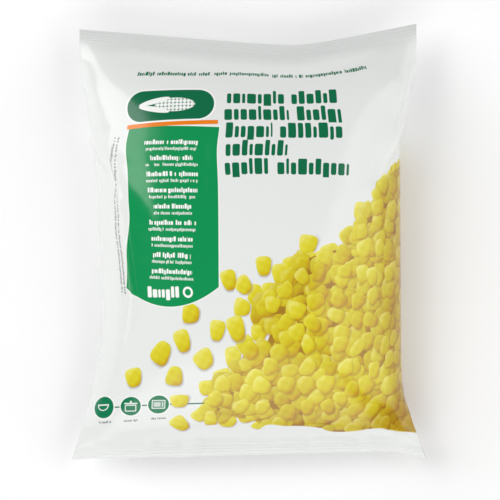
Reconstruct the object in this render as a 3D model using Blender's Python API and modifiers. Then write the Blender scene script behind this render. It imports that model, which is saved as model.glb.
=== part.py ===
"""Frozen vegetable bag: a filled, sealed pillow pack of film, lying on its back with the front up.

One closed solid. +Z is up and +Y runs to the top of the pack. The origin is on the surface that the
pack rests on, under the middle of its outline. Metres throughout.
"""
import math

import bmesh
import bpy

# ---- driving dimensions ----
LENGTH = 0.1962             # highest corner to lowest corner
BOTTOM_WIDTH = 0.1600       # the bottom seal lies flat, at the film's full width
TOP_WIDTH = 0.1514          # the top seal waves a little, so it measures less
WAIST_WIDTH = 0.1364        # the filling pulls the sides in
THICKNESS = 0.0490          # underside to crown
SEAL_DEPTH = 0.0061         # height of each crimped end seal
SEAL_LEVEL = 0.0146         # height of the seals and of the side folds above the resting surface
FLAP_THICKNESS = 0.0011     # the bonded seals and the ears at the corners

# ---- outline of the sides ----
TOP_SHIFT = -0.0007         # the top seal sits slightly left of the middle
WAIST_LEAN_LEFT = 0.045     # how far each side leans outwards towards the top, per metre
WAIST_LEAN_RIGHT = -0.008
TOP_FLARE = (0.043, 0.085)  # between these heights the sides swing out to the top seal
BOTTOM_FLARE_LEFT = 0.060   # length over which each side swings out to the bottom corner
BOTTOM_FLARE_RIGHT = 0.034
FLARE_POWER = 1.2

# ---- outline of the ends ----
DIP_X = 0.0198              # the top edge is lowest here
DIP_DEPTH = 0.0096          # below the right-hand corner, the highest
DIP_ROUNDING = 0.0075
DIP_SLOPE_LEFT = 0.080
BOTTOM_RISE = 0.0037        # the bottom edge climbs by this much from left to right
DROOP_START = 0.065         # and drops back to the right-hand corner from here
DROOP_POWER = 1.5

# ---- form of the filled part ----
CROWN_POWER = 2.1           # 2 is an ellipse, more is squarer
UNDERSIDE_POWER = 7.0
UNDERSIDE_PRESS = 1.12      # above 1, the weight presses a flat patch on the underside
CORNER_BLEND = 2.4          # how the rounding of the sides meets the rounding of the ends
CROWN_SHIFT = 0.08          # the filling has settled towards the bottom
SEAL_WAVE = 0.0008
SEAL_WAVE_LENGTH = 0.040
TUCK_DEPTH = 0.0023         # the fold pinched into each side where it starts to swing out
TUCK_WIDTH = 0.0070
TUCK_REACH = 0.16           # how far a tuck runs in, as a share of the half width
TUCK_HEIGHTS = (0.059, -0.062)

# ---- cage ----
COLUMNS = 18
ROWS = 24
EDGE_GATHER = 0.6           # how strongly the cage gathers towards the rounded edges
SMOOTHING = 1
ALMOST_ONE = 0.999

FILM_COLOUR = (0.77, 0.78, 0.77, 1.0)
FILM_ROUGHNESS = 0.32


def smooth_step(value):
    """Ease from 0 to 1 with level ends."""
    value = min(max(value, 0.0), 1.0)
    return value * value * (3.0 - 2.0 * value)


def side(y, waist, top, bottom, lowest, flare):
    """X of an outline at height y: its waist, swinging out to the top seal and to its bottom corner.

    lowest is the height of the bottom corner, and flare the length over which the side reaches it.
    """
    low = max(0.0, (lowest + flare - y) / flare) ** FLARE_POWER
    high = smooth_step((y - TOP_FLARE[0]) / (TOP_FLARE[1] - TOP_FLARE[0]))
    return waist + (bottom - waist) * low + (top - waist) * high


def left_side(y):
    """X of the left outline at height y."""
    waist = -WAIST_WIDTH / 2 - WAIST_LEAN_LEFT * y
    lowest = bottom_edge(-BOTTOM_WIDTH / 2)
    return side(y, waist, TOP_SHIFT - TOP_WIDTH / 2, -BOTTOM_WIDTH / 2, lowest, BOTTOM_FLARE_LEFT)


def right_side(y):
    """X of the right outline at height y."""
    waist = WAIST_WIDTH / 2 + WAIST_LEAN_RIGHT * y
    lowest = bottom_edge(BOTTOM_WIDTH / 2)
    return side(y, waist, TOP_SHIFT + TOP_WIDTH / 2, BOTTOM_WIDTH / 2, lowest, BOTTOM_FLARE_RIGHT)


def away_from_dip(x):
    """Distance from the top edge's lowest point, rounded so that the two slopes meet smoothly."""
    return math.hypot(x - DIP_X, DIP_ROUNDING) - DIP_ROUNDING


def top_edge(x):
    """Y of the top edge: two slopes that meet in a rounded dip."""
    slope = DIP_SLOPE_LEFT
    if x > DIP_X:
        slope = DIP_DEPTH / away_from_dip(TOP_SHIFT + TOP_WIDTH / 2)
    return LENGTH / 2 - DIP_DEPTH + slope * away_from_dip(x)


def bottom_edge(x):
    """Y of the bottom edge: almost straight, with a drooping right-hand corner."""
    along = (x + BOTTOM_WIDTH / 2) / (DROOP_START + BOTTOM_WIDTH / 2)
    droop = max(0.0, (x - DROOP_START) / (BOTTOM_WIDTH / 2 - DROOP_START)) ** DROOP_POWER
    return -LENGTH / 2 + BOTTOM_RISE * (min(along, 1.0) - droop)


def place_in_outline(across, row):
    """Plan position and fullness coordinates of a cage point.

    across runs from -1 at the left outline to 1 at the right one. The first and last rows are the
    cut edges, the next ones are the seals' inner lines, and the rest divide the filled part.
    """
    filled_rows = ROWS - 2
    along = min(max((row - 1) / filled_rows, 0.0), 1.0) * 2.0 - 1.0
    along = gather(along)
    x = across * WAIST_WIDTH / 2
    y = 0.0
    for _ in range(4):
        low = bottom_edge(x)
        high = top_edge(x)
        if row == 0:
            y = low
        elif row == ROWS:
            y = high
        else:
            y = (low + high) / 2 + along * ((high - low) / 2 - SEAL_DEPTH)
        left = left_side(y)
        right = right_side(y)
        x = (left + right) / 2 + across * (right - left) / 2
    return x, y, along


def gather(value):
    """Move evenly spaced values in -1..1 towards the ends, where the form turns fastest."""
    return (1.0 - EDGE_GATHER) * value + EDGE_GATHER * math.sin(value * math.pi / 2)


def roundness(value, power):
    """1 in the middle, 0 at the ends, with a rounded shoulder."""
    return math.sqrt(max(0.0, 1.0 - abs(value) ** power))


def fullness(across, along, power):
    """How far the film has lifted from the seal level, from 0 at the outline to 1 in the middle."""
    drop = (1.0 - roundness(across, power)) ** CORNER_BLEND
    drop += (1.0 - roundness(along, power)) ** CORNER_BLEND
    return max(0.0, 1.0 - drop ** (1.0 / CORNER_BLEND))


def tuck(across, y):
    """Depth of the folds pinched into the sides, which fade away inwards."""
    inward = (1.0 - abs(across)) / TUCK_REACH
    fade = inward * math.exp(1.0 - inward)
    return TUCK_DEPTH * fade * sum(math.exp(-((y - at) / TUCK_WIDTH) ** 2) for at in TUCK_HEIGHTS)


def front_and_back(across, row):
    """Points of the front and of the back of the film at one cage point."""
    x, y, along = place_in_outline(across, row)
    settled = along + CROWN_SHIFT * (1.0 - along * along)
    sealed = abs(along) ** 12
    level = SEAL_LEVEL + sealed * SEAL_WAVE * math.sin(2.0 * math.pi * x / SEAL_WAVE_LENGTH)
    top = level + FLAP_THICKNESS / 2
    lift = (THICKNESS - SEAL_LEVEL - FLAP_THICKNESS / 2) * fullness(across, settled, CROWN_POWER)
    base = level - FLAP_THICKNESS / 2
    sink = base * UNDERSIDE_PRESS * fullness(across, along, UNDERSIDE_POWER)
    pinch = tuck(across, y) * (1.0 - sealed)
    front = (x, y, top + max(0.0, lift - pinch))
    back = (x, y, max(0.0, base - max(0.0, sink - pinch)))
    return front, back


def film_cage():
    """The cage: a grid shaped as the front, extruded down and shaped as the back."""
    cage = bmesh.new()
    edge_crease = cage.edges.layers.float.new("crease_edge")
    corner_crease = cage.verts.layers.float.new("crease_vert")
    bmesh.ops.create_grid(cage, x_segments=COLUMNS, y_segments=ROWS, size=1.0)
    plan = {vertex: tuple(vertex.co.xy) for vertex in cage.verts}
    extruded = bmesh.ops.extrude_face_region(cage, geom=cage.faces[:])
    lower = {item for item in extruded["geom"] if isinstance(item, bmesh.types.BMVert)}
    for vertex in lower:
        plan[vertex] = tuple(vertex.co.xy)
    for vertex, (across, up) in plan.items():
        row = round((up + 1.0) / 2.0 * ROWS)
        front, back = front_and_back(gather(across), row)
        vertex.co = back if vertex in lower else front
    bmesh.ops.recalc_face_normals(cage, faces=cage.faces[:])
    keep_ends_square(cage, plan, edge_crease, corner_crease)
    mesh = bpy.data.meshes.new("bag")
    cage.to_mesh(mesh)
    cage.free()
    return mesh


def keep_ends_square(cage, plan, edge_crease, corner_crease):
    """Crease the cut ends and their corners, which the smoothing would round off."""
    at_end = {vertex for vertex in cage.verts if abs(plan[vertex][1]) > ALMOST_ONE}
    for edge in cage.edges:
        if set(edge.verts) <= at_end:
            edge[edge_crease] = 1.0
    for vertex in at_end:
        if abs(plan[vertex][0]) > ALMOST_ONE:
            vertex[corner_crease] = 1.0


def film_material():
    """White printed film with a soft gloss."""
    material = bpy.data.materials.new("film")
    material.use_nodes = True
    shader = material.node_tree.nodes["Principled BSDF"]
    shader.inputs["Base Color"].default_value = FILM_COLOUR
    shader.inputs["Roughness"].default_value = FILM_ROUGHNESS
    shader.inputs["Metallic"].default_value = 0.0
    return material


def build_bag():
    """The one piece: front, back and both end seals are one closed body."""
    collection = bpy.data.collections.new("frozen_vegetable_bag")
    bpy.context.scene.collection.children.link(collection)
    mesh = film_cage()
    mesh.materials.append(film_material())
    mesh.shade_smooth()
    bag = bpy.data.objects.new("bag", mesh)
    collection.objects.link(bag)
    smoothing = bag.modifiers.new("smoothing", 'SUBSURF')
    smoothing.levels = SMOOTHING
    smoothing.render_levels = SMOOTHING
    return bag


for leftover in list(bpy.data.objects):
    bpy.data.objects.remove(leftover)
build_bag()
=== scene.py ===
"""Looks of the frozen vegetable bag: a printed film, blown up round its filling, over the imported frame.

The film is worked out flat, in millimetres, as a tube that is laid flat and sealed at both ends. A
small cloth solver swells it, the CAD solid gives it its outline and height, and the print is drawn by
procedural materials in the flat film's own millimetres.
"""
import functools
import math

import bpy
import numpy as np
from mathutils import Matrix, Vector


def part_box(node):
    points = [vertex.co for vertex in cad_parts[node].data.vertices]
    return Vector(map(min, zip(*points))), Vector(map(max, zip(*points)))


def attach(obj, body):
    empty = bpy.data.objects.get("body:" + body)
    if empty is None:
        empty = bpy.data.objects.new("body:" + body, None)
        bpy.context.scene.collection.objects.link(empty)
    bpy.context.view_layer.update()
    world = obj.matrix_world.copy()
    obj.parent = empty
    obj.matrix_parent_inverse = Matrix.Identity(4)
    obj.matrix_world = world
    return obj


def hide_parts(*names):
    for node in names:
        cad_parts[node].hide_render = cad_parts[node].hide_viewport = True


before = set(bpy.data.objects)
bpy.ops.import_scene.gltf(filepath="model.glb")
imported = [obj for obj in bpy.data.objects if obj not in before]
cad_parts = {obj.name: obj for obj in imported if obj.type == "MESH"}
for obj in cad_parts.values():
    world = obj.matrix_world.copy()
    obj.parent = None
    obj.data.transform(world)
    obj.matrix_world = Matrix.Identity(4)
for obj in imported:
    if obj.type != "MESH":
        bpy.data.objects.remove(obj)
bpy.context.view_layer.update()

MM = 0.001

# ---- the film, in millimetres ----
FILM_WIDTH = 160.0  # the tube laid flat
FILM_LENGTH = 194.0  # cut edge to cut edge
SEAL_HEIGHT = 6.1
FILLED_VOLUME = 0.80e6  # cubic millimetres that the filling and the air take up
FLOOR_GAP = 0.45  # room under the back for the fin seal
OUTLINE_SAMPLES = 120

# ---- cloth solver ----
COARSE_CELL = 5.0
COARSE_STEPS = 500
FINE_STEPS = 400
FLATTENING = 0.004  # weight of the filling, in millimetres a step
SETTLING = 2.5  # how much more presses at the bottom than at the top
DAMPING = 0.98
SWEEPS = 4
SWELLING = (0.6, 0.3)  # how strongly a missing volume presses outwards, coarse and fine
MOST_PRESSURE = 0.3  # in millimetres a step
FILL_DEPTH = 50.0  # depth of filling that presses with the whole weight, in millimetres
FLOOR_GRIP = 0.7
BEND_STIFFNESS = 0.05
SHEAR_STIFFNESS = 0.6
SEED = 4
UNEVENNESS = 0.15  # of the film before it is filled, in millimetres
HALF_OPENING = 6.0  # of the tube before it is filled
EASING = 2.0  # width of the smoothing of the settled film, in solver cells
END_EASING = 5.0  # the same around the ends
END_REACH = 26.0  # of that smoothing, in millimetres up from a seal
WRINKLES_KEPT = 0.12

# ---- finished mesh ----
FINE_CELL = 0.8
SEAL_CELL = 0.25
WRAP = 0.14  # share of the film's width that the front piece reaches round each side
FRONT_SPAN = (-WRAP * FILM_WIDTH, (1 + WRAP) * FILM_WIDTH)
BACK_SPAN = (FRONT_SPAN[1], (2 - WRAP) * FILM_WIDTH)
FILM_GAP = 0.12  # half of what parts the bonded films
SEAL_RIB_HEIGHT = 0.10
SEAL_RIB_PITCH = 1.25
LUMP_HEIGHT = 0.06  # of the grains that press into the film
LUMP_RADIUS = 4.2
LUMP_PITCH = 8.5
RIDGE = ((-46, -58.0), (-22, -53.6), (3, -56.0), (28, -58.6), (54, -58.0))  # y, x of a glossy ridge
RIDGE_WIDTH = 1.4
RIDGE_HEIGHT = 1.1
RIDGE_FADE = 14.0
MARKS = (
    # x, y, half width, half height, rise: dents and flutes on the flat film
    (-17, 38, 1.6, 5, -0.22), (-18.5, 26, 1.2, 3.5, -0.25), (-22, 21, 2.2, 1.2, -0.2),
    (-46.5, 86, 1.2, 3, 0.25), (-28, 84, 2.2, 8, 0.18), (20, 82, 3, 8, 0.16),
    (-49, -90, 2.6, 7, 0.7), (-43.5, -91, 2, 6, -0.5), (-30, -90, 3, 7, 0.7),
    (-22.5, -91, 2.4, 6, -0.4), (10, -89, 4, 5, 0.5), (28, -90, 2.6, 7, 0.7),
    (51, -90, 2.6, 7, 0.7), (57, -91, 2.2, 6, -0.45), (65, -86, 5, 3, 0.4),
    (70.5, 62, 1.8, 12, -0.9), (66.5, 64, 1.6, 10, 0.5),
    (-66, -86, 6, 2.2, 0.35),
)
FIN_WIDTH = 9.0  # of the long seal down the middle of the back
FIN_CLEARANCE = 0.12
FIN_THICKNESS = 0.16
FIN_RIB_HEIGHT = 0.04
FIN_RIB_PITCH = 1.5
EDGE_SOFTNESS = 0.16  # of printed edges


def smooth_step(value):
    value = np.clip(value, 0, 1)
    return value * value * (3 - 2 * value)


# ---- cloth solver ----
def flat_tube(cell):
    """Points of the film tube before it is filled, as rows up the pack and columns once around it.

    Column 0 is the left side fold, then come the front, the right side fold and the back.
    """
    half = int(round(FILM_WIDTH / cell))
    rows = int(round(FILM_LENGTH / cell))
    column = np.arange(2 * half)
    across = np.where(column <= half, column, 2 * half - column) / half
    facing = np.sign((half - column) * column) * 1.0
    filled = (np.arange(rows + 1) * FILM_LENGTH / rows - SEAL_HEIGHT) / (FILM_LENGTH - 2 * SEAL_HEIGHT)
    open_part = np.sqrt(np.sin(np.pi * np.clip(filled, 0, 1)))
    points = np.zeros((rows + 1, 2 * half, 3))
    points[..., 0] = (across - 0.5) * FILM_WIDTH
    points[..., 1] = (np.arange(rows + 1)[:, None] / rows - 0.5) * FILM_LENGTH
    apart = facing * np.sqrt(np.sin(np.pi * across)) * open_part[:, None]
    points[..., 2] = HALF_OPENING * (1 + apart)
    return points


def pull(a, b, length, stiffness, only_push=False):
    """Move each pair of points towards the distance that the film keeps between them."""
    between = b - a
    distance = np.sqrt((between * between).sum(-1, keepdims=True)) + 1e-9
    share = (distance - length) / distance * 0.5 * stiffness
    if only_push:
        share = np.minimum(share, 0)
    move = share * between
    a += move
    b -= move


def pull_lines(points, axis, length, step, stiffness, only_push=False):
    """Pull together the points `step` apart up the pack (axis 0) or around the closed tube (axis 1)."""
    lines = points.swapaxes(0, axis)
    count = lines.shape[0]
    for first in range(2 * step):
        near = np.arange(first, count if axis else count - step, 2 * step)
        far = (near + step) % count
        a, b = lines[near], lines[far]
        pull(a, b, length, stiffness, only_push)
        lines[near], lines[far] = a, b


def pull_diagonals(points, length, stiffness):
    """Pull along both diagonals of every cell, which resists shear."""
    for first in (0, 1):
        low = np.arange(first, points.shape[0] - 1, 2)
        for turn in (-1, 1):
            a, b = points[low], np.roll(points[low + 1], turn, axis=1)
            pull(a, b, length, stiffness)
            points[low], points[low + 1] = a, np.roll(b, -turn, axis=1)


def bond_ends(points, seal_rows):
    """Keep the front and the back together in both end seals."""
    mirrored = (-np.arange(points.shape[1])) % points.shape[1]
    for rows in (slice(0, seal_rows + 1), slice(-seal_rows - 1, None)):
        points[rows] = 0.5 * (points[rows] + points[rows][:, mirrored])


def area_vectors(points):
    """Outward normal of each point, as long as the area that the point stands for."""
    around = 0.5 * (np.roll(points, -1, 1) - np.roll(points, 1, 1))
    return np.cross(around, np.gradient(points, axis=0))


def settle(points, steps, seal_rows, swelling, weight):
    """Swell the tube to its volume over a floor, and let it come to rest."""
    cell_u = 2 * FILM_WIDTH / points.shape[1]
    cell_v = FILM_LENGTH / (points.shape[0] - 1)
    before = points.copy()
    open_rows = np.ones((points.shape[0], 1, 1))
    open_rows[:seal_rows + 1] = 0
    open_rows[-seal_rows - 1:] = 0
    for _ in range(steps):
        area = area_vectors(points) * open_rows
        volume = (points * area).sum() / 3
        pressure = np.clip(swelling * (1 - volume / FILLED_VOLUME), -MOST_PRESSURE, MOST_PRESSURE)
        height = points[..., 2]
        load = weight * np.clip((height.max() - height) / FILL_DEPTH, 0, 2)
        load += weight * SETTLING * np.clip(0.5 - points[..., 1] / FILM_LENGTH, 0, 1)
        moved = points + (points - before) * DAMPING
        moved += area / (cell_u * cell_v) * (pressure + load)[..., None]
        moved[..., 2] -= weight
        before, points = points, moved
        for _ in range(SWEEPS):
            pull_lines(points, 1, cell_u, 1, 1.0)
            pull_lines(points, 0, cell_v, 1, 1.0)
            pull_diagonals(points, math.hypot(cell_u, cell_v), SHEAR_STIFFNESS)
            pull_lines(points, 1, 2 * cell_u, 2, BEND_STIFFNESS, only_push=True)
            pull_lines(points, 0, 2 * cell_v, 2, BEND_STIFFNESS, only_push=True)
            bond_ends(points, seal_rows)
            rest_on_floor(points, before)
    return points


def rest_on_floor(points, before):
    """Stop points at the floor, where friction holds them back."""
    below = points[..., 2] < 0
    points[below, :2] = FLOOR_GRIP * before[below, :2] + (1 - FLOOR_GRIP) * points[below, :2]
    points[below, 2] = 0


def halve_cells(points):
    """The same film with cells half the size."""
    rows, columns = points.shape[:2]
    finer = np.empty((2 * rows - 1, 2 * columns, 3))
    finer[0::2, 0::2] = points
    finer[0::2, 1::2] = 0.5 * (points + np.roll(points, -1, 1))
    finer[1::2] = 0.5 * (finer[0:-2:2] + finer[2::2])
    return finer


def bell(width):
    """Offsets around a sample and their weights in an average about `width` samples wide."""
    offsets = np.arange(-int(3 * width), int(3 * width) + 1)
    weights = np.exp(-0.5 * (offsets / width) ** 2)
    return offsets, weights / weights.sum()


def averaged(points, width, up=False):
    """Points averaged with their neighbours around the tube, or up it."""
    offsets, weights = bell(width)
    reach = offsets[-1]
    if not up:
        return sum(weight * np.roll(points, offset, axis=1) for weight, offset in zip(weights, offsets))
    padding = ((reach, reach), (0, 0), (0, 0))
    padded = np.pad(points, padding, mode="reflect", reflect_type="odd")
    rows = points.shape[0]
    return sum(weight * padded[k:k + rows] for k, weight in enumerate(weights))


def ease_wrinkles(points):
    """Take most of the sharp wrinkles out of the film, and nearly all of them near its ends."""
    flat = flat_tube(2 * FILM_WIDTH / points.shape[1])
    flat[..., 2] = 0
    eased = averaged(averaged(points, EASING), EASING, up=True)
    straight = flat + averaged(averaged(points - flat, END_EASING), EASING / 2, up=True)
    up = np.linspace(0, FILM_LENGTH, points.shape[0])
    from_end = np.minimum(up, FILM_LENGTH - up)
    middle = smooth_step((from_end - SEAL_HEIGHT) / END_REACH)[:, None, None]
    smooth = straight + (eased - straight) * middle
    return points + (smooth - points) * (1 - WRINKLES_KEPT)


def filled_tube():
    """The film at rest round its filling."""
    points = flat_tube(COARSE_CELL)
    points += np.random.default_rng(SEED).normal(0, UNEVENNESS, points.shape)
    points = settle(points, COARSE_STEPS, 1, SWELLING[0], FLATTENING)
    points = halve_cells(points)
    return ease_wrinkles(settle(points, FINE_STEPS, 2, SWELLING[1], FLATTENING / 2))


# ---- fitting the film to the frame ----
def plan_edges(node):
    """Start and end of every edge of a CAD node, in millimetres."""
    mesh = node.data
    points = np.empty(len(mesh.vertices) * 3)
    mesh.vertices.foreach_get("co", points)
    points = points.reshape(-1, 3) / MM
    edges = np.empty(len(mesh.edges) * 2, dtype=np.int64)
    mesh.edges.foreach_get("vertices", edges)
    return points[edges[0::2]], points[edges[1::2]]


def outline(node, sign, along):
    """One of the four lines of a node's plan outline, corner to corner, as places and values.

    along 1 follows the left (sign -1) or right side up the pack and gives its x; along 0 follows the
    bottom (sign -1) or top end across it and gives its y.
    """
    start, end = plan_edges(node)
    other = 1 - along
    corners = [start[np.argmax(sign * start[:, other] + step * start[:, along])] for step in (-1, 1)]
    inset = 1.0
    places = [corners[0][along]]
    values = [corners[0][other]]
    for place in np.linspace(corners[0][along] + inset, corners[1][along] - inset, OUTLINE_SAMPLES):
        crossing = (start[:, along] - place) * (end[:, along] - place) <= 0
        a, b = start[crossing], end[crossing]
        share = np.clip((place - a[:, along]) / (b[:, along] - a[:, along] + 1e-9), 0, 1)
        across = a[:, other] + share * (b[:, other] - a[:, other])
        places.append(place)
        values.append(sign * (sign * across).max())
    places.append(corners[1][along])
    values.append(corners[1][other])
    return np.array(places), np.array(values)


def smoothed(values, width):
    """Values with everything finer than `width` samples taken out."""
    padded = np.pad(values, 3 * width, mode="reflect", reflect_type="odd")
    return np.convolve(padded, bell(width)[1], mode="valid")


def fit_to_frame(points, node):
    """Ease the film's outline and height to those of its CAD solid, keeping every wrinkle."""
    half = points.shape[1] // 2
    low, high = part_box("bag")
    points = points - [points[..., 0].mean(), points[..., 1].mean(), 0]
    points[..., 1] *= (high.y - low.y) / MM / np.ptp(points[..., 1])
    sides, ends = [[outline(node, sign, along) for sign in (-1, 1)] for along in (1, 0)]
    along = np.linspace(0, 1, points.shape[0])[:, None]
    for _ in range(3):
        left, right = points[..., 0].min(1), points[..., 0].max(1)
        shift_left = smoothed(np.interp(points[:, 0, 1], *sides[0]) - left, 2)[:, None]
        shift_right = smoothed(np.interp(points[:, half, 1], *sides[1]) - right, 2)[:, None]
        share = (points[..., 0] - left[:, None]) / (right - left)[:, None]
        points[..., 0] += shift_left * (1 - share) + shift_right * share
        for row, end, weight in ((0, ends[0], (1 - along) ** 2), (-1, ends[1], along ** 2)):
            edge = points[row, :half + 1]
            shift = smoothed(np.interp(edge[:, 0], *end) - edge[:, 1], 2)
            points[..., 1] += np.interp(points[..., 0], edge[:, 0], shift) * weight
    height = (high.z - low.z) / MM - FLOOR_GAP
    points[..., 2] *= height / points[..., 2].max()
    points[..., 2] += FLOOR_GAP
    return points


# ---- sampling the film smoothly ----
def cubic_weights(share):
    """Catmull-Rom weights of the four samples around each in-between place."""
    t = share[:, None]
    powers = np.concatenate([t ** 3, t ** 2, t, np.ones_like(t)], axis=1)
    basis = 0.5 * np.array([[-1, 3, -3, 1], [2, -5, 4, -1], [-1, 0, 1, 0], [0, 2, 0, 0]])
    return powers @ basis


def sampled(points, places, axis):
    """Points at fractional rows (axis 0) or at fractional columns of the closed tube (axis 1)."""
    lines = points.swapaxes(0, axis)
    count = lines.shape[0]
    first = np.floor(places).astype(int)
    if axis == 0:
        first = np.clip(first, 0, count - 2)
    weights = cubic_weights(places - first)
    total = 0
    for k in range(4):
        line = first - 1 + k
        line = line % count if axis else np.clip(line, 0, count - 1)
        total = total + weights[:, k, None, None] * lines[line]
    return total.swapaxes(0, axis)


def even_steps(start, end, step):
    """Places from start to end, no further than `step` apart."""
    return np.linspace(start, end, int(math.ceil((end - start) / step)) + 1)


def film_heights():
    """Heights up the film at which the finished mesh has a row: fine in the seals."""
    low = even_steps(0, SEAL_HEIGHT + 1, SEAL_CELL)
    middle = even_steps(SEAL_HEIGHT + 1, FILM_LENGTH - SEAL_HEIGHT - 1, FINE_CELL)
    return np.concatenate([low, middle[1:-1], FILM_LENGTH - low[::-1]])


coarse_film = fit_to_frame(filled_tube(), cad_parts["bag"])


def outward(points):
    """Unit normals of a sheet of points."""
    normals = np.cross(np.gradient(points, axis=1), np.gradient(points, axis=0))
    return normals / (np.linalg.norm(normals, axis=-1, keepdims=True) + 1e-12)


def scattered(a, b, step_a, step_b):
    """A random value from 0 to 1 for each pair of whole numbers, always the same one."""
    spin = np.sin(a * step_a + b * step_b) * 43758.5453
    return spin - np.floor(spin)


def kernel_lumps(around, up):
    """Height of the soft lumps that the grains press into the film, from 0 to 1."""
    cell_u, cell_v = np.floor(around / LUMP_PITCH), np.floor(up / LUMP_PITCH)
    lump = np.zeros(around.shape)
    for du in (-1, 0, 1):
        for dv in (-1, 0, 1):
            cu, cv = cell_u + du, cell_v + dv
            aside = scattered(cu, cv, 127.1, 311.7)
            above = scattered(cu, cv, 269.5, 183.3)
            x = (cu + 0.2 + 0.6 * aside) * LUMP_PITCH
            y = (cv + 0.2 + 0.6 * above) * LUMP_PITCH
            distance = np.hypot(around - x, up - y) / LUMP_RADIUS
            lump = np.maximum(lump, (0.6 + 0.4 * aside) * np.exp(-distance ** 2))
    return lump


def sheet_points(start, end):
    """Part of the tube between two places around it, in mm around, with the two films apart.

    Places run from 0 at the left fold over the front to FILM_WIDTH at the right fold, and on over
    the back.
    """
    around = even_steps(start, end, FINE_CELL)
    up = film_heights()
    cell_u = 2 * FILM_WIDTH / coarse_film.shape[1]
    cell_v = FILM_LENGTH / (coarse_film.shape[0] - 1)
    points = sampled(sampled(coarse_film, around / cell_u, 1), up / cell_v, 0)
    return around, up, points


def pressed_marks(x, y):
    """Height of the few marks that handling has left in the front, in millimetres."""
    height = np.zeros(x.shape)
    for centre_x, centre_y, wide, tall, rise in MARKS:
        height += rise * np.exp(-((x - centre_x) / wide) ** 2 - ((y - centre_y) / tall) ** 2)
    places, middles = np.array(RIDGE).T
    fade = smooth_step((y - places[0]) / RIDGE_FADE) * smooth_step((places[-1] - y) / RIDGE_FADE)
    to_ridge = (x - np.interp(y, places, middles)) / RIDGE_WIDTH
    return height + RIDGE_HEIGHT * np.exp(-to_ridge ** 2) * fade


def add_relief(points, around, up):
    """Part the bonded films, crimp the seals and let the grains show."""
    normals = outward(points)
    around_grid = np.broadcast_to(around[None, :], points.shape[:2])
    up_grid = np.broadcast_to(up[:, None], points.shape[:2])
    from_end = np.minimum(up_grid, FILM_LENGTH - up_grid)
    to_fold = np.abs((around_grid + FILM_WIDTH / 2) % FILM_WIDTH - FILM_WIDTH / 2)
    in_seal = smooth_step((SEAL_HEIGHT + 0.5 - from_end) / 1.0)
    apart = FILM_GAP * np.clip(from_end / 0.3, 0, 1) * np.clip(to_fold / 0.8, 0, 1) * in_seal
    rib = SEAL_RIB_HEIGHT * np.sin(from_end * 2 * np.pi / SEAL_RIB_PITCH)
    rib = rib * in_seal * np.clip(from_end / 0.8, 0, 1)
    front = np.where((around_grid > 0) & (around_grid < FILM_WIDTH), 1.0, -1.0)
    lumps = kernel_lumps(around_grid % (2 * FILM_WIDTH), up_grid)
    filled = smooth_step((from_end - 14) / 18) * smooth_step((to_fold - 6) / 20)
    relief = apart + rib * front + LUMP_HEIGHT * lumps * filled
    relief += pressed_marks(around_grid - FILM_WIDTH / 2, up_grid - FILM_LENGTH / 2)
    return points + normals * relief[..., None]


def add_object(name, data):
    thing = bpy.data.objects.new(name, data)
    bpy.context.scene.collection.objects.link(thing)
    return thing


def add_mesh(name, points, u, v):
    """A grid of points, in millimetres, as a smooth mesh object with its UVs."""
    rows, columns = points.shape[:2]
    mesh = bpy.data.meshes.new(name)
    index = np.arange(rows * columns).reshape(rows, columns)
    corners = np.stack([index[:-1, :-1], index[:-1, 1:], index[1:, 1:], index[1:, :-1]], axis=-1)
    mesh.from_pydata((points.reshape(-1, 3) * MM).tolist(), [], corners.reshape(-1, 4).tolist())
    uv = np.stack(np.broadcast_arrays(u[None, :], v[:, None]), axis=-1).reshape(-1, 2)
    layer = mesh.uv_layers.new(name="OFBake")
    loops = np.empty(len(mesh.loops), dtype=np.int64)
    mesh.loops.foreach_get("vertex_index", loops)
    layer.data.foreach_set("uv", uv[loops].ravel())
    mesh.shade_smooth()
    mesh.normals_split_custom_set_from_vertices(outward(points).reshape(-1, 3).tolist())
    return add_object(name, mesh)


def make_sheet(name, start, end):
    """One piece of the film as a mesh whose UVs run evenly over the flat film."""
    around, up, points = sheet_points(start, end)
    return add_mesh(name, add_relief(points, around, up), (around - start) / (end - start), up / FILM_LENGTH)


def make_fin(name):
    """The long seal that closes the tube: a crimped flap lying flat on the middle of the back."""
    middle = 1.5 * FILM_WIDTH
    around, up, points = sheet_points(middle - FIN_WIDTH / 2, middle + FIN_WIDTH / 2)
    rib = FIN_RIB_HEIGHT * np.sin((around - around[0]) * 2 * np.pi / FIN_RIB_PITCH)[None, :, None]
    normals = outward(points)
    near = points + normals * (FIN_CLEARANCE + rib)
    far = points + normals * (FIN_CLEARANCE + FIN_THICKNESS + rib)
    loop = np.concatenate([far, near[:, ::-1], far[:, :1]], axis=1)
    return add_mesh(name, loop, np.linspace(0, 1, loop.shape[1]), up / FILM_LENGTH)


front = make_sheet("front_film", *FRONT_SPAN)
back = make_sheet("back_film", *BACK_SPAN)
fin = make_fin("fin_seal")


# ---- node trees written as sums ----
def new_node(tree, kind):
    return tree.nodes.new("ShaderNode" + kind)


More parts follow.
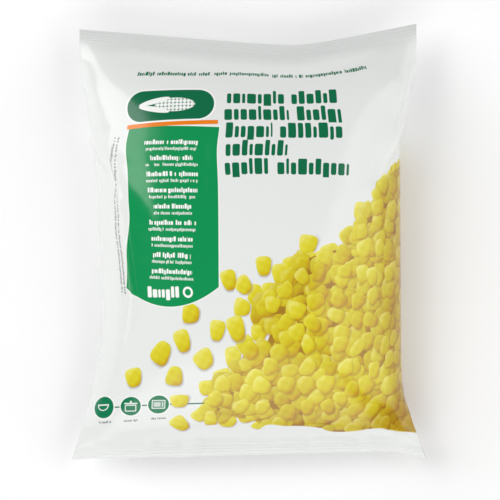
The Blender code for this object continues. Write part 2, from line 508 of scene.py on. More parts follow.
class Value:
    """A number or colour in a node tree. Arithmetic on it adds Math nodes."""

    def __init__(self, tree, socket):
        self.tree = tree
        self.socket = socket

    def math(self, operation, *others, clamp=False):
        node = new_node(self.tree, "Math")
        node.operation = operation
        node.use_clamp = clamp
        for socket, source in zip(node.inputs, (self, *others)):
            feed(self.tree, source, socket)
        return Value(self.tree, node.outputs[0])

    def __rsub__(self, other):
        return self.math('MULTIPLY_ADD', -1.0, other)

    def __neg__(self):
        return self.math('MULTIPLY', -1.0)

    def clamped(self):
        return self.math('ADD', 0.0, clamp=True)

    def under(self, limit, soft=EDGE_SOFTNESS):
        """1 where the value is less than the limit, 0 where it is more, with a soft edge."""
        return ((limit - self) / soft + 0.5).clamped()

    def over(self, limit, soft=EDGE_SOFTNESS):
        return ((self - limit) / soft + 0.5).clamped()

    def between(self, low, high, soft=EDGE_SOFTNESS):
        return self.over(low, soft) * self.under(high, soft)


for name, operation in (
    ("__add__", 'ADD'), ("__radd__", 'ADD'), ("__sub__", 'SUBTRACT'), ("__mul__", 'MULTIPLY'),
    ("__rmul__", 'MULTIPLY'), ("__truediv__", 'DIVIDE'), ("__pow__", 'POWER'), ("__abs__", 'ABSOLUTE'),
    ("floor", 'FLOOR'), ("fraction", 'FRACT'), ("least", 'MINIMUM'), ("most", 'MAXIMUM'),
):
    setattr(Value, name, functools.partialmethod(Value.math, operation))


def feed(tree, source, socket):
    """Set a socket from a number, a colour, a Value or another socket."""
    if isinstance(source, Value):
        source = source.socket
    if isinstance(source, bpy.types.NodeSocket):
        tree.links.new(source, socket)
    else:
        socket.default_value = source


def grouped(name, inputs, outputs):
    """Write a function's nodes once, as a group, and place that group wherever it is called.

    Inputs and outputs are numbers, or colours where the name ends in "colour".
    """
    def kind(label):
        return "NodeSocketColor" if label.endswith("colour") else "NodeSocketFloat"

    def write(function):
        group = bpy.data.node_groups.new(name, "ShaderNodeTree")
        for label in inputs:
            group.interface.new_socket(label, in_out='INPUT', socket_type=kind(label))
        for label in outputs:
            group.interface.new_socket(label, in_out='OUTPUT', socket_type=kind(label))
        start = group.nodes.new("NodeGroupInput")
        end = group.nodes.new("NodeGroupOutput")
        results = function(group, *[Value(group, socket) for socket in start.outputs][:len(inputs)])
        for result, socket in zip(results, end.inputs):
            feed(group, result, socket)
        return group

    def decorate(function):
        def place(tree, *values):
            group = bpy.data.node_groups.get(name) or write(function)
            node = new_node(tree, "Group")
            node.node_tree = group
            for value, socket in zip(values, node.inputs):
                feed(tree, value, socket)
            results = [Value(tree, socket) for socket in node.outputs]
            return results if len(results) > 1 else results[0]
        return place
    return decorate


def hypot(x, y):
    return (x * x + y * y).math('SQRT')


def union(masks):
    """Cover of several masks together."""
    cover = masks[0]
    for mask in masks[1:]:
        cover = cover.most(mask)
    return cover


def mixed(tree, kind, first, second, share):
    """Two colours (kind RGBA) or vectors (kind VECTOR) mixed: all of the second where the share is 1."""
    node = new_node(tree, "Mix")
    node.data_type = kind
    feed(tree, share, node.inputs["Factor"])
    sockets = [socket for socket in node.inputs if socket.type == kind and socket.enabled]
    feed(tree, first, sockets[0])
    feed(tree, second, sockets[1])
    return Value(tree, next(socket for socket in node.outputs if socket.type == kind and socket.enabled))


def ink(tree, below, colour, cover):
    """Lay one colour over another where the cover is 1."""
    return mixed(tree, 'RGBA', below, colour, cover)


def shade(tree, below, colour, strength):
    """Multiply one colour by another, by as much as the strength."""
    result = ink(tree, below, colour, strength)
    result.socket.node.blend_type = 'MULTIPLY'
    return result


def srgb(red, green, blue):
    """The shader's linear colour for display values from 0 to 255."""
    values = (np.array([red, green, blue]) / 255 + 0.055) / 1.055
    return (*(values ** 2.4), 1.0)


def vector_of(tree, x, y, z=0.0):
    node = new_node(tree, "CombineXYZ")
    for socket, source in zip(node.inputs, (x, y, z)):
        feed(tree, source, socket)
    return node.outputs[0]


def parts(tree, vector):
    node = new_node(tree, "SeparateXYZ")
    feed(tree, vector, node.inputs[0])
    return [Value(tree, output) for output in node.outputs]


def rotated(tree, vector, angle, back=False):
    node = new_node(tree, "VectorRotate")
    node.rotation_type = 'Z_AXIS'
    node.invert = back
    feed(tree, vector, node.inputs["Vector"])
    feed(tree, angle, node.inputs["Angle"])
    return node.outputs[0]


def white_noise(tree, name, seed):
    noise = new_node(tree, "TexWhiteNoise")
    noise.noise_dimensions = '1D'
    feed(tree, seed * 113.7 + name, noise.inputs["W"])
    return noise


def random_value(tree, name, seed):
    """A random value from 0 to 1 for a thing with a number for a name."""
    return Value(tree, white_noise(tree, name, seed).outputs["Value"])


def random_values(tree, name, seed):
    """Three such values. The first is the one that random_value gives."""
    split = new_node(tree, "SeparateColor")
    tree.links.new(white_noise(tree, name, seed).outputs["Color"], split.inputs[0])
    return [Value(tree, output) for output in split.outputs]


def clouds(tree, x, y, size, detail=1.0):
    """Soft random patches about `size` millimetres across, mostly between 0.3 and 0.7."""
    noise = new_node(tree, "TexNoise")
    noise.noise_dimensions = '2D'
    noise.inputs["Scale"].default_value = 1 / size
    noise.inputs["Detail"].default_value = detail
    tree.links.new(vector_of(tree, x, y), noise.inputs["Vector"])
    return Value(tree, noise.outputs[0])


def curve_through(tree, value, points):
    """A smooth curve through given (place, result) points, in increasing places."""
    places, results = zip(*points)
    start, end = places[0], places[-1]
    low, high = min(results), max(results)
    node = new_node(tree, "FloatCurve")
    marks = node.mapping.curves[0].points
    for place, result in points[1:-1]:
        marks.new((place - start) / (end - start), (result - low) / (high - low))
    marks[0].location = (0, (results[0] - low) / (high - low))
    marks[len(marks) - 1].location = (1, (results[-1] - low) / (high - low))
    for mark in marks:
        mark.handle_type = 'AUTO_CLAMPED'
    node.mapping.update()
    feed(tree, (value - start) / (end - start), node.inputs["Value"])
    return Value(tree, node.outputs[0]) * (high - low) + low


def flat_film_place(tree, start, end):
    """Place on the flat film, in millimetres from its middle: x to the right, y up."""
    uv = new_node(tree, "UVMap")
    uv.uv_map = "OFBake"
    u, v, _ = parts(tree, uv.outputs[0])
    return u * (end - start) + (start - FILM_WIDTH / 2), v * FILM_LENGTH - FILM_LENGTH / 2


# ---- print design, in millimetres on the flat film ----
FILM_WHITE = srgb(229, 231, 229)
WHITE_INK = srgb(244, 246, 243)
# painted shade: the grey laid over the top end of the front film
TOP_END_PAINTED_SHADE = srgb(204, 206, 205)
GREEN_INK = srgb(0, 143, 80)
ICON_INK = srgb(8, 120, 78)
DARK_GREEN_INK = srgb(4, 106, 68)
ORANGE_INK = srgb(236, 126, 20)
GREY_INK = srgb(120, 126, 122)
BACK_TEXT_INK = srgb(70, 92, 82)
FIN_SHADE = srgb(206, 209, 206)
SHADOW_INK = srgb(140, 130, 124)
GRAIN_GLINT = srgb(231, 224, 108)
GRAIN_LIT = srgb(221, 210, 52)
GRAIN_MID = srgb(211, 195, 30)
GRAIN_LOW = srgb(202, 166, 26)
GRAIN_DEEP = srgb(182, 140, 36)
GAP_INK = srgb(164, 122, 36)
# painted shade and brown: darkens the heap towards the right fold and the foot, and in random patches
HEAP_PAINTED_SHADE_AND_BROWN = srgb(208, 178, 140)
LIGHT_WAY = (-0.66, 0.75)  # where the light on the printed grains comes from
GRAIN_TAPER = 0.22
GRAIN_SQUARENESS = 3.0
GRAIN_RAMP = ((0.28, GRAIN_LOW), (0.52, GRAIN_MID), (0.76, GRAIN_LIT))
GRAIN_BRIGHTNESS = 0.42  # of the darkest grain's middle, from 0 to 1
GRAIN_VARIETY = 0.34  # how much brighter the brightest one is
GRAIN_ROUNDNESS = 0.40  # how much the side towards the light gains
GRAIN_MOTTLE = 0.07
GRAIN_RIM = 0.12  # how much darker the rim is
LAYER_PITCH = 9.5
LAYER_JITTER = 0.55
GRAIN_HALF_WIDTH = (2.6, 1.2)  # in the heap: the least, and how much more the largest has
GRAIN_HALF_HEIGHT = (3.2, 1.1)
LAYERS = (
    # lattice turn, share of the cells with a grain, darkness
    (0.3, 1.0, 0.30), (1.1, 1.0, 0.24), (2.0, 1.0, 0.17), (0.7, 0.95, 0.11), (2.6, 0.85, 0.06),
    (1.6, 0.70, 0.02), (0.1, 0.5, 0.0),
)
PILE_EDGE = (
    # y, x of the heap's left edge
    (-90, -22), (-74.5, -23), (-66.7, -24.4), (-61.9, -20.6), (-55.3, -21.5), (-51, -14.8),
    (-42.6, -11.8), (-38.5, -2.7), (-28.4, -0.5), (-22.4, -4.8), (-14.3, 5.1), (-7.5, 10.9),
    (-3.5, 17.5), (0.5, 33), (9, 42), (23, 54), (29, 62), (31.9, 79), (45, 104),
)
PILE_FOOT = (
    # x, y of the clean lower edge of the printed heap
    (-20, -80), (3.3, -79.7), (10.2, -75.5), (17.1, -76.5), (23.9, -76.6), (33, -78.1), (43.4, -81.3),
    (56.3, -80.4), (66, -82.4), (75, -83.8), (104, -83),
)
EDGE_GRAINS = (
    # x, y, width, height, turn in degrees
    (75.4, 29.3, 8.5, 9, 0), (67.1, 25.6, 9, 8.5, -20), (59.4, 20.8, 8, 8, 25),
    (49.7, 14.4, 8, 8.5, -15), (57.7, 13.6, 8.5, 8.5, 10), (43.9, 4, 8, 9.5, 30),
    (52, 3.4, 8, 9, -10), (35.2, -2.8, 8.8, 10, 15), (25.4, 1.7, 8.6, 9.2, -12),
    (26.3, -4.8, 8, 7.6, 0), (18.4, -7, 8.2, 9.4, 10), (23.6, -10.7, 8.4, 7.6, -30),
    (13.1, -10.2, 7.4, 10, 8), (8.6, -16.9, 7.6, 8, 0), (13.3, -20.5, 8.8, 8.4, 20),
    (2.4, -18.8, 8, 10.4, -28), (-3.8, -23.3, 7.8, 8, 80), (7.6, -22.8, 7, 8.4, 0),
    (3.5, -27.9, 7.8, 8.6, 15), (3.4, -33.2, 8, 9, -12), (-2.2, -38.8, 8.2, 9, 30),
    (-7.7, -43.7, 7.6, 10.4, 6), (1.2, -44.5, 9.6, 7.6, 10), (-4.6, -49.5, 9, 8, -20),
    (-11.9, -52, 8.4, 8, 15), (-18.2, -56.6, 8.2, 7.4, 0), (-15.7, -64.2, 9, 9, -15),
    (-20.9, -69.4, 7.8, 7.4, 40), (-7.3, -65.3, 9.4, 9, 20), (-9, -72.6, 9.4, 8.6, -10),
    (4.6, -75.8, 6, 5, 45), (-0.5, -70.5, 8.6, 7.8, 10),
)
LOOSE_GRAINS = (
    (-26.6, -26.1, 9.2, 8.4, 80), (-30.6, -37.4, 7.6, 10.4, 22), (-40, -42.7, 9, 11, 152),
    (-20.6, -44.6, 9, 9.4, 35), (-51.8, -54.1, 8.4, 8.8, 20), (-33.2, -51.8, 8, 9, 176),
    (-30.1, -62.6, 8.8, 6.4, 3), (-30.2, -74, 8.2, 9.4, 38), (-15.1, -32.7, 7.2, 9.4, -8),
    (-6.6, -32, 8.2, 11.6, 18), (-9.3, -12.5, 7.2, 9.2, 14), (-3, -14.4, 7.6, 8.2, 40),
    (6, -6.7, 7.2, 8.8, 2),
)
PANEL_TOP = 49.6
PANEL_LOW = (-37.6, -23.9)
PANEL_BOW = 33.0
PANEL_PITCH = 6.56
PANEL_ROWS = 9
PANEL_LEFT = (-55.3, 0.128)  # x at mid height, lean
PANEL_RIGHT = (-13.3, 0.033)
PANEL_RIM = 0.4
PANEL_TEXT = (-34.0, 0.0745)  # the lines' middle at mid height, and its lean
PANEL_TEXT_TOP = 44.8
PANEL_TEXT_HEIGHTS = (1.45, 0.95)  # of the first and the second line of a pair
PANEL_TEXT_FEET = (2.9, 5.3)  # how far their feet are below the top of the pair
WEIGHT = (-46.4, -20.3, 15.0, 3.3)  # x, y, length and height of the blocks at the panel's foot
RING = (-27.6, -17.7, 1.8, 0.45)  # x, y, radius and half the line's width
BADGE = (-32.4, 59.0, 18.3, 6.8)  # x, y, half width and half height of the pill
BADGE_RIM = 0.7
BADGE_TILT = 0.06
BAR = (-31.2, 50.6, 18.9, 0.9)  # the same of the orange bar
COB = (-30.6, 59.0, 8.4, 3.1)
COB_CELL = (1.6, 1.55)
LEAF = (-39.3, 6.4, 1.2)  # x, half length and half width
TOP_LINE = (
    # x, y of the line of small print along the top
    (-80, 70.6), (-48.1, 72.7), (-23.5, 74.0), (3.7, 76.6), (29.5, 75.6), (43.6, 75.6), (53.9, 77.0),
    (80, 80),
)
SIDE_LINE = ((-40, -60.5), (-21, -61.1), (-6.6, -61.9), (7.9, -63.1), (27.9, -60.9), (47, -55.8), (70, -52))
SIDE_PITCH = 1.8
ICON_LINE = ((-80, -72), (-65.2, -69.1), (-51.6, -66.3), (-39.2, -64.5), (-20.1, -63.5), (0, -63))
HEADLINE_HEIGHT = 5.0
HEADLINE_LEFT = -9.8
HEADLINE_TOP = 67.2
HEADLINE_PITCH = 7.75
HEADLINE_GAPS = ((-1, 28), (0, 28.4), (1, 30.2), (2, 23.0), (3, 29.6), (4, 21.7), (5, 20))  # row, mm
HEADLINE_ENDS = ((-1, 49), (0, 49.1), (1, 49.4), (2, 49.1), (3, 29.7), (4, 53.3), (5, 53))
ICONS = (
    # x, y, half width, half height, slope of the print there
    (-65.2, -69.1, 5.6, 4.7, 0.24), (-51.6, -66.3, 4.6, 4.15, 0.13), (-39.2, -64.5, 4.6, 4.1, 0.06),
)
NOTE_LEFT = -71.9
NOTE_PITCH = 13.0
GRAIN_SCALE = 0.9
BACK_COLUMN = 30.0  # from the middle of the back to the middle of a column
BACK_FIELD = (74.0, 20.0, 4.0)  # y, half width and half height of a column's green field
BACK_TOP = 66.0
BACK_PITCH = 3.1
BACK_ROWS = 40
BACK_WIDTH = 38.0


# ---- printed shapes ----
@grouped("rounded box", ("x", "y", "half width", "half height", "corner"), ("cover",))
def rounded_box(tree, x, y, half_width, half_height, corner):
    """Cover of a box with rounded corners round the origin."""
    dx = (abs(x) - (half_width - corner)).most(0.0)
    dy = (abs(y) - (half_height - corner)).most(0.0)
    return [hypot(dx, dy).under(corner)]


@grouped("word", ("along", "up", "length", "height", "seed", "gaps"), ("cover",))
def word(tree, along, up, length, height, seed, gaps):
    """A run of small rounded blocks in place of letters; no letter is drawn.

    along and up are millimetres from the run's start and foot, and `height` is that of the low
    blocks. gaps is the share of the blocks that is left out, which parts the run into words.
    """
    pitch = height * 0.64
    place = along / pitch
    cell = place.floor()
    letter = cell - place.fraction().math('LESS_THAN', random_value(tree, cell, seed) * 0.5)
    start, tall, present = random_values(tree, letter, seed)
    finish = random_value(tree, letter + 1.0, seed)
    left = letter + start * 0.5
    right = (letter + 0.76 + finish * 0.5).least(length / pitch - 0.1)
    top = height * (tall.over(0.74, 0.01) * 0.36 + 1.0)
    foot = height * (tall.under(0.14, 0.01) * -0.32)
    dx = place * pitch - (left + right) * (pitch * 0.5)
    block = rounded_box(
        tree, dx, up - (top + foot) * 0.5, (right - left) * (pitch * 0.5), (top - foot) * 0.5, height * 0.16
    )
    inside = along.under(length, 0.05) * letter.over(-0.5, 0.01) * present.over(gaps, 0.01)
    return [block * inside * (right - left).over(0.15, 0.01)]


@grouped(
    "grain", ("dx", "dy", "half width", "half height", "turn", "tone"), ("cover", "grain colour", "shadow")
)
def grain(tree, dx, dy, half_width, half_height, turn, tone):
    """One grain of sweet corn seen from above. dx and dy are millimetres from its middle."""
    across, along, _ = parts(tree, rotated(tree, vector_of(tree, dx, dy), turn, back=True))
    across = abs(across / half_width) / (along / half_height * GRAIN_TAPER + 1.0).most(0.5)
    along = abs(along / half_height)
    edge = (across ** GRAIN_SQUARENESS + along ** GRAIN_SQUARENESS) ** (1 / GRAIN_SQUARENESS)
    towards = (dx * LIGHT_WAY[0] + dy * LIGHT_WAY[1]) * 2.0 / (half_width + half_height)
    mottle = (dx * 1.2 + dy * 0.5 + turn * 9.0).math('SINE')
    mottle = mottle * (dy * 1.3 - dx * 0.4 + tone * 17.0).math('SINE')
    bright = tone * GRAIN_VARIETY + GRAIN_BRIGHTNESS + towards * edge * GRAIN_ROUNDNESS
    bright = bright + mottle * GRAIN_MOTTLE - edge.over(0.94, 0.24) * GRAIN_RIM
    ramp = new_node(tree, "ValToRGB")
    stops = ramp.color_ramp.elements
    stops[0].position, stops[0].color = 0.06, GRAIN_DEEP
    stops[1].position, stops[1].color = 0.98, GRAIN_GLINT
    for position, colour in GRAIN_RAMP:
        stops.new(position).color = colour
    feed(tree, bright, ramp.inputs[0])
    away = (0.30 - towards * 1.1).clamped()
    shadow = edge.under(1.12, 0.34) * away
    return edge.under(1.0, 0.07), ramp.outputs[0], shadow


def set_grains(tree, below, x, y, grains, shadow_strength):
    """Draw grains from a list. Where two meet, each keeps the side nearer to it."""
    here = vector_of(tree, x, y)
    nearest, spot, form = 1000.0, (0.0, 0.0, 0.0), (1.0, 1.0, 0.5)
    for number, (cx, cy, width, height, turn) in enumerate(grains):
        span = new_node(tree, "VectorMath")
        span.operation = 'DISTANCE'
        feed(tree, here, span.inputs[0])
        feed(tree, (cx, cy, 0.0), span.inputs[1])
        distance = Value(tree, span.outputs["Value"])
        closer = distance.math('LESS_THAN', nearest)
        tone = 0.45 + 0.5 * (number * 0.618) % 0.5
        spot = mixed(tree, 'VECTOR', spot, (cx, cy, math.radians(turn)), closer)
        size = (GRAIN_SCALE * width / 2, GRAIN_SCALE * height / 2, tone)
        form = mixed(tree, 'VECTOR', form, size, closer)
        nearest = distance.least(nearest)
    cx, cy, turn = parts(tree, spot)
    half_width, half_height, tone = parts(tree, form)
    cover, colour, shadow = grain(tree, x - cx, y - cy, half_width, half_height, turn, tone)
    below = ink(tree, below, SHADOW_INK, shadow * shadow_strength)
    return ink(tree, below, colour, cover)


@grouped(
    "grain layer", ("x", "y", "lattice turn", "share", "darkness", "seed", "below colour"), ("colour",)
)
def grain_layer(tree, x, y, lattice_turn, share, darkness, seed, below):
    """One layer of the heap: a lattice of cells with a grain in each, or in a share of them."""
    cells = new_node(tree, "TexVoronoi")
    cells.voronoi_dimensions = '2D'
    cells.inputs["Scale"].default_value = 1 / LAYER_PITCH
    cells.inputs["Randomness"].default_value = LAYER_JITTER
    tree.links.new(rotated(tree, vector_of(tree, x, y), lattice_turn), cells.inputs["Vector"])
    centre = cells.outputs["Position"]
    cx, cy, _ = parts(tree, rotated(tree, centre, lattice_turn, back=True))
    size, tone, present = random_values(tree, cx + cy * 57.31, seed)
    present = present.under(share, 0.01) * (cx - curve_through(tree, cy, PILE_EDGE)).over(5.5, 0.02)
    present = present * (cy - curve_through(tree, cx, PILE_FOOT)).over(cx.under(6.0, 1.0) * 6.0, 0.02)
    turn = (size * 17.0).fraction() * 6.283
    half_height = tone * GRAIN_HALF_HEIGHT[1] + GRAIN_HALF_HEIGHT[0]
    half_width = size * GRAIN_HALF_WIDTH[1] + GRAIN_HALF_WIDTH[0]
    tone = (tone * 9.0).fraction()
    cover, colour, shadow = grain(tree, x - cx, y - cy, half_width, half_height, turn, tone)
    shaded = ink(tree, colour, GAP_INK, darkness)
    below = ink(tree, below, GAP_INK, shadow * present * 0.7)
    return [ink(tree, below, shaded, cover * present)]


PRINT_ENDS = (("x", "y", "below colour"), ("colour",))


@grouped("heap", *PRINT_ENDS)
def draw_heap(tree, x, y, paper):
    """The heap of grains that fills the lower right of the pack and runs on round the fold."""
    paper = set_grains(tree, paper, x, y, EDGE_GRAINS, 0.6)
    lowest = curve_through(tree, x, PILE_FOOT) + x.under(5.0, 6.0) * 10.0
    depth = x - curve_through(tree, y, PILE_EDGE)
    heap = ink(tree, paper, GAP_INK, depth.over(9.0, 0.5) * (y - lowest).over(0.0, 0.5))
    for number, (turn, share, darkness) in enumerate(LAYERS):
        heap = grain_layer(tree, x, y, turn, share, darkness, number + 0.5, heap)
    # Painted shade: the heap gets darker and browner towards the right fold and the foot, with random brown
    # patches over it as well.
    near_side, near_foot = x.over(64.0, 22.0), (-y).over(70.0, 26.0)
    shade_and_brown = near_side * 0.62 + near_foot * 0.45 + clouds(tree, x, y, 22.0) * 0.7 - 0.32
    shade_and_brown = shade_and_brown * depth.over(8.0, 6.0) * (y - lowest).over(0.0, 2.0)
    heap = shade(tree, heap, HEAP_PAINTED_SHADE_AND_BROWN, shade_and_brown.clamped())
    kept = (y - curve_through(tree, x, PILE_FOOT)).over(0.0, 0.5) * x.under(98.0)
    return [ink(tree, paper, heap, kept)]


@grouped("panel", *PRINT_ENDS)
def draw_panel(tree, x, y, paper):
    """The green panel with a bowed foot and a pale rim, nine pairs of lines, and a ring at its foot."""
    left = y * PANEL_LEFT[1] + PANEL_LEFT[0]
    right = y * PANEL_RIGHT[1] + PANEL_RIGHT[0]
    foot = (x - PANEL_LOW[0]) ** 2.0 / (2 * PANEL_BOW) + PANEL_LOW[1]
    for rim, colour in ((PANEL_RIM, WHITE_INK), (0, GREEN_INK)):
        field = x.between(left - rim, right + rim) * y.between(foot - rim, PANEL_TOP + rim)
        paper = ink(tree, paper, colour, field)
    middle = y * PANEL_TEXT[1] + PANEL_TEXT[0]
    step = (PANEL_TEXT_TOP - y) / PANEL_PITCH
    row = step.floor()
    below = step.fraction() * PANEL_PITCH
    small = below.over(3.7, 0.01)
    seed = row + small * 20.0
    height = small * (PANEL_TEXT_HEIGHTS[1] - PANEL_TEXT_HEIGHTS[0]) + PANEL_TEXT_HEIGHTS[0]
    length = random_value(tree, seed, 3.0) * 6.0 + 17.0
    along = x - middle + length * 0.5
    up = small * (PANEL_TEXT_FEET[1] - PANEL_TEXT_FEET[0]) + PANEL_TEXT_FEET[0] - below
    lines = word(tree, along, up, length, height, seed, 0.1)
    lines = lines * row.between(-0.5, PANEL_ROWS - 0.5, 0.01) * (small * -0.2 + 1.0)
    paper = ink(tree, paper, WHITE_INK, lines)
    at_x, at_y, length, height = WEIGHT
    weight = word(tree, x - at_x, y - at_y - (x + 38.0) * 0.05, length, height, 71.0, 0.0)
    at_x, at_y, radius, half_line = RING
    ring = abs(hypot(x - at_x, y - at_y) - radius).under(half_line)
    return [ink(tree, paper, WHITE_INK, weight.most(ring))]


@grouped("badge", *PRINT_ENDS)
def draw_badge(tree, x, y, paper):
    """A plain badge over the panel: a pill with a corn cob, over a straight orange bar."""
    y = y - (x + 32.5) * BADGE_TILT
    at_x, at_y, wide, tall = BAR
    paper = ink(tree, paper, ORANGE_INK, rounded_box(tree, x - at_x, y - at_y, wide, tall, 0.4))
    at_x, at_y, wide, tall = BADGE
    for rim, colour in ((BADGE_RIM, WHITE_INK), (0, DARK_GREEN_INK)):
        pill = rounded_box(tree, x - at_x, y - at_y, wide + rim, tall + rim, tall + rim - 0.1)
        paper = ink(tree, paper, colour, pill)
    at_x, at_y, wide, tall = COB
    up = y - at_y
    cob = hypot((x - at_x) / wide, up / tall)
    grid_x = abs(((x - at_x) / COB_CELL[0]).fraction() - 0.5)
    grid_y = abs((up / COB_CELL[1] + 0.5).fraction() - 0.5)
    grains = hypot(grid_x, grid_y).under(0.47, 0.1)
    paper = ink(tree, paper, WHITE_INK, cob.under(1.0, 0.05) * (grains * 0.75 + 0.25))
    for side in (-1, 1):
        bend = up * side - 1.5 - (x + 40.5) * 0.22
        leaf = hypot((x - LEAF[0]) / LEAF[1], bend / LEAF[2]).under(1.0, 0.08)
        paper = ink(tree, paper, WHITE_INK, leaf)
    return [paper]


@grouped("headline", *PRINT_ENDS)
def draw_headline(tree, x, y, paper):
    """The headline's words, the line along the top and the small lines up the left side."""
    bow = ((x - 16.0) / 25.0) ** 2.0
    step = (HEADLINE_TOP - y + (1.0 - bow)) / HEADLINE_PITCH
    row = step.floor()
    gap = curve_through(tree, row, HEADLINE_GAPS)
    end = curve_through(tree, row, HEADLINE_ENDS)
    along = x - HEADLINE_LEFT
    second = along.over(gap, 0.01)
    along = along - gap * second
    length = second * (end - gap) + (1.0 - second) * (gap - 2.6)
    up = (0.86 - step.fraction()) * HEADLINE_PITCH
    lines = word(tree, along, up, length, HEADLINE_HEIGHT, row + second * 7.0 + 21.0, 0.0)
    paper = ink(tree, paper, DARK_GREEN_INK, lines * row.between(-0.5, 4.5, 0.01))
    wave = y - curve_through(tree, x, TOP_LINE)
    top_line = word(tree, x + 49.0, wave, 102.5, 1.5, 31.0, 0.12)
    paper = ink(tree, paper, DARK_GREEN_INK, top_line)
    offset = (x - curve_through(tree, y, SIDE_LINE)) / SIDE_PITCH
    lane = offset.floor()
    small = word(tree, 46.0 - y, (offset - lane) * SIDE_PITCH - 0.4, 67.0, 0.75, lane + 41.0, 0.12)
    paper = ink(tree, paper, GREY_INK, small * lane.between(-0.5, 1.5, 0.01) * 0.85)
    return [paper]


def outlined(tree, x, y, half_width, half_height, corner, line):
    """A rounded box drawn as an outline."""
    outer = rounded_box(tree, x, y, half_width, half_height, corner)
    inner = rounded_box(tree, x, y, half_width - line, half_height - line, max(corner - line, 0.05))
    return outer - inner


def bowl_sign(tree, x, y):
    """An open bowl with a rim."""
    radius = hypot(x * 0.85, (y - 1.0) * 1.1)
    bowl = (radius.under(2.7) - radius.under(2.2)) * y.under(1.0)
    rim = rounded_box(tree, x, y - 1.1, 3.2, 0.3, 0.2)
    return bowl.most(rim)


def pot_sign(tree, x, y):
    """A pot with a lid and a knob."""
    body = outlined(tree, x, y + 0.8, 2.6, 1.5, 0.5, 0.42)
    lid = rounded_box(tree, x, y - 1.25, 3.0, 0.3, 0.2)
    return union([body, lid, hypot(x, y - 2.0).under(0.5)])


def oven_sign(tree, x, y):
    """A small oven with a window and a row of vents."""
    case = outlined(tree, x, y - 0.1, 3.0, 2.0, 0.4, 0.4)
    window = rounded_box(tree, x + 0.6, y - 0.1, 1.5, 1.0, 0.2) * 0.75
    buttons = rounded_box(tree, x - 1.8, y - 0.1, 0.25, 1.1, 0.2)
    return union([case, window, buttons])


@grouped("icons", *PRINT_ENDS)
def draw_icons(tree, x, y, paper):
    """Three cooking signs on one line, with a note under each."""
    line = y - curve_through(tree, x, ICON_LINE)
    paper = ink(tree, paper, DARK_GREEN_INK, abs(line).under(0.28) * x.between(-65.0, -19.0))
    for (cx, cy, wide, tall, slope), sign in zip(ICONS, (bowl_sign, pot_sign, oven_sign)):
        dx = x - cx
        dy = y - cy - dx * slope
        radius = hypot(dx / wide, dy / tall)
        paper = ink(tree, paper, WHITE_INK, radius.under(1.1, 0.05))
        paper = ink(tree, paper, ICON_INK, radius.under(1.0, 0.05))
        paper = ink(tree, paper, WHITE_INK, sign(tree, dx, dy) * 0.85)
    note = (x - NOTE_LEFT) / NOTE_PITCH
    number = note.floor()
    along = note.fraction() * NOTE_PITCH - 3.2
    notes = word(tree, along, line + 7.0, 6.8, 0.8, number + 51.0, 0.1)
    paper = ink(tree, paper, GREY_INK, notes * number.between(-0.5, 2.5, 0.01))
    return [paper]


# ---- materials ----
def new_material(name):
    """A new material, its node tree and its shader."""
    material = bpy.data.materials.new(name)
    material.use_nodes = True
    return material, material.node_tree, material.node_tree.nodes["Principled BSDF"]


FILM_IOR = 1.5
FILM_ROUGHNESS = (0.13, 0.10)  # the least, and how much the uneven gloss adds


def film_shader(name):
    """Film with a soft, slightly uneven gloss: its material, node tree and shader."""
    material, tree, shader = new_material(name)
    shader.inputs["IOR"].default_value = FILM_IOR
    noise = new_node(tree, "TexNoise")
    noise.inputs["Scale"].default_value = 55.0
    noise.inputs["Detail"].default_value = 4.0
    coordinates = new_node(tree, "TexCoord")
    tree.links.new(coordinates.outputs["Object"], noise.inputs["Vector"])
    roughness = Value(tree, noise.outputs[0]) * FILM_ROUGHNESS[1] + FILM_ROUGHNESS[0]
    feed(tree, roughness, shader.inputs["Roughness"])
    return material, tree, shader


def front_material():
    """The printed front."""
    material, tree, shader = film_shader("printed_front")
    x, y = flat_film_place(tree, *FRONT_SPAN)
    # Painted shade: the film is darkened towards its top end, over the top seal and the band under it.
    paper = ink(tree, FILM_WHITE, TOP_END_PAINTED_SHADE, y.over(89.0, 11.0) * 0.6)
    paper = draw_heap(tree, x, y, paper)
    paper = draw_icons(tree, x, y, paper)
    paper = set_grains(tree, paper, x, y, LOOSE_GRAINS, 0.75)
    paper = draw_panel(tree, x, y, paper)
    paper = draw_badge(tree, x, y, paper)
    paper = draw_headline(tree, x, y, paper)
    feed(tree, paper, shader.inputs["Base Color"])
    return material


def back_material():
    """The back: white film with a green field over each of two columns of small print."""
    material, tree, shader = film_shader("printed_back")
    x, y = flat_film_place(tree, *BACK_SPAN)
    x = x - FILM_WIDTH
    side = abs(x) - BACK_COLUMN
    at_y, wide, tall = BACK_FIELD
    paper = ink(tree, FILM_WHITE, GREEN_INK, rounded_box(tree, side, y - at_y, wide, tall, 1.2))
    title = word(tree, side + 17.0, y - 72.6, 26.0, 2.6, x.over(0.0, 0.01) + 81.0, 0.0)
    paper = ink(tree, paper, WHITE_INK, title)
    column = x.over(0.0, 0.01) * 40.0
    step = (BACK_TOP - y) / BACK_PITCH
    row = step.floor()
    length = random_value(tree, row + column, 5.0) ** 0.4 * BACK_WIDTH
    shown = random_value(tree, row + column, 6.0).over(0.16, 0.01)
    shown = shown * row.between(-0.5, BACK_ROWS - 0.5, 0.01)
    up = (0.75 - step.fraction()) * BACK_PITCH
    lines = word(tree, side + 19.5, up, length, 1.3, row + column + 90.0, 0.12)
    paper = ink(tree, paper, BACK_TEXT_INK, lines * shown)
    feed(tree, paper, shader.inputs["Base Color"])
    return material


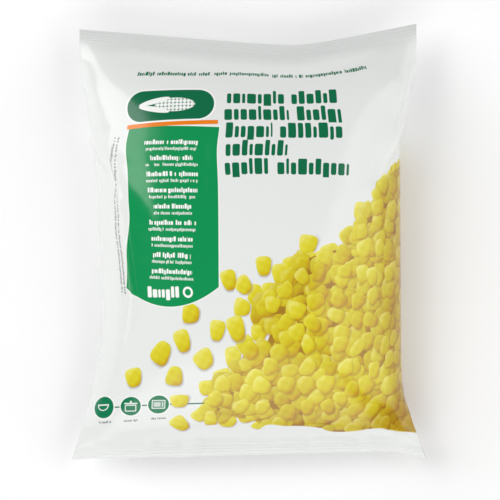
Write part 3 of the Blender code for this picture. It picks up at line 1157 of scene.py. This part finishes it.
def fin_material():
    """The unprinted crimped flap."""
    material, tree, shader = film_shader("fin")
    coordinates = new_node(tree, "TexCoord")
    x, y, _ = parts(tree, coordinates.outputs["Object"])
    dulled = clouds(tree, x / MM, y / MM, 6.0, 3.0)
    feed(tree, ink(tree, FILM_WHITE, FIN_SHADE, dulled * 0.5), shader.inputs["Base Color"])
    return material


for piece, material in ((front, front_material()), (back, back_material()), (fin, fin_material())):
    piece.data.materials.append(material)
    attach(piece, "root")
    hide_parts("bag")


# ---- stage, in metres ----
LIGHTS = (
    # name, place, side, watts
    ("key", (-1.0, 0.55, 0.85), 1.2, 15.0),
    ("fill", (1.2, 0.1, 0.8), 1.8, 15.8),
    ("low", (-0.1, -1.2, 0.8), 1.6, 13.2),
)
FLOOR_COLOUR = (0.95, 0.95, 0.95, 1)
WORLD_STRENGTH = 0.16
VIEW_DISTANCE = 1.3
VIEW_WIDTH = 0.2254  # of what the picture shows at that distance
VIEW_MIDDLE = (0.0002, -0.0036, 0.0146)
SENSOR_WIDTH = 36  # in millimetres


def add_floor():
    bpy.ops.mesh.primitive_plane_add(size=8, location=(0, 0, 0))
    floor = bpy.context.object
    floor.name = "floor"
    material, _, shader = new_material("floor")
    shader.inputs["Base Color"].default_value = FLOOR_COLOUR
    shader.inputs["Roughness"].default_value = 0.9
    floor.data.materials.append(material)


def add_soft_light(name, place, size, power):
    light = bpy.data.lights.new(name, 'AREA')
    light.size = size
    light.energy = power
    lamp = add_object(name, light)
    lamp.location = place
    lamp.rotation_euler = (-lamp.location).to_track_quat('-Z', 'Y').to_euler()


def add_camera():
    data = bpy.data.cameras.new("camera")
    data.sensor_width = SENSOR_WIDTH
    data.lens = SENSOR_WIDTH * VIEW_DISTANCE / VIEW_WIDTH
    camera = add_object("camera", data)
    x, y, z = VIEW_MIDDLE
    camera.location = (x, y, z + VIEW_DISTANCE)
    bpy.context.scene.camera = camera


def light_world():
    world = bpy.data.worlds.new("studio")
    world.use_nodes = True
    background = world.node_tree.nodes["Background"]
    background.inputs["Color"].default_value = (1, 1, 1, 1)
    background.inputs["Strength"].default_value = WORLD_STRENGTH
    bpy.context.scene.world = world
    bpy.context.scene.view_settings.view_transform = 'Standard'


add_floor()
for light in LIGHTS:
    add_soft_light(*light)
light_world()
add_camera()
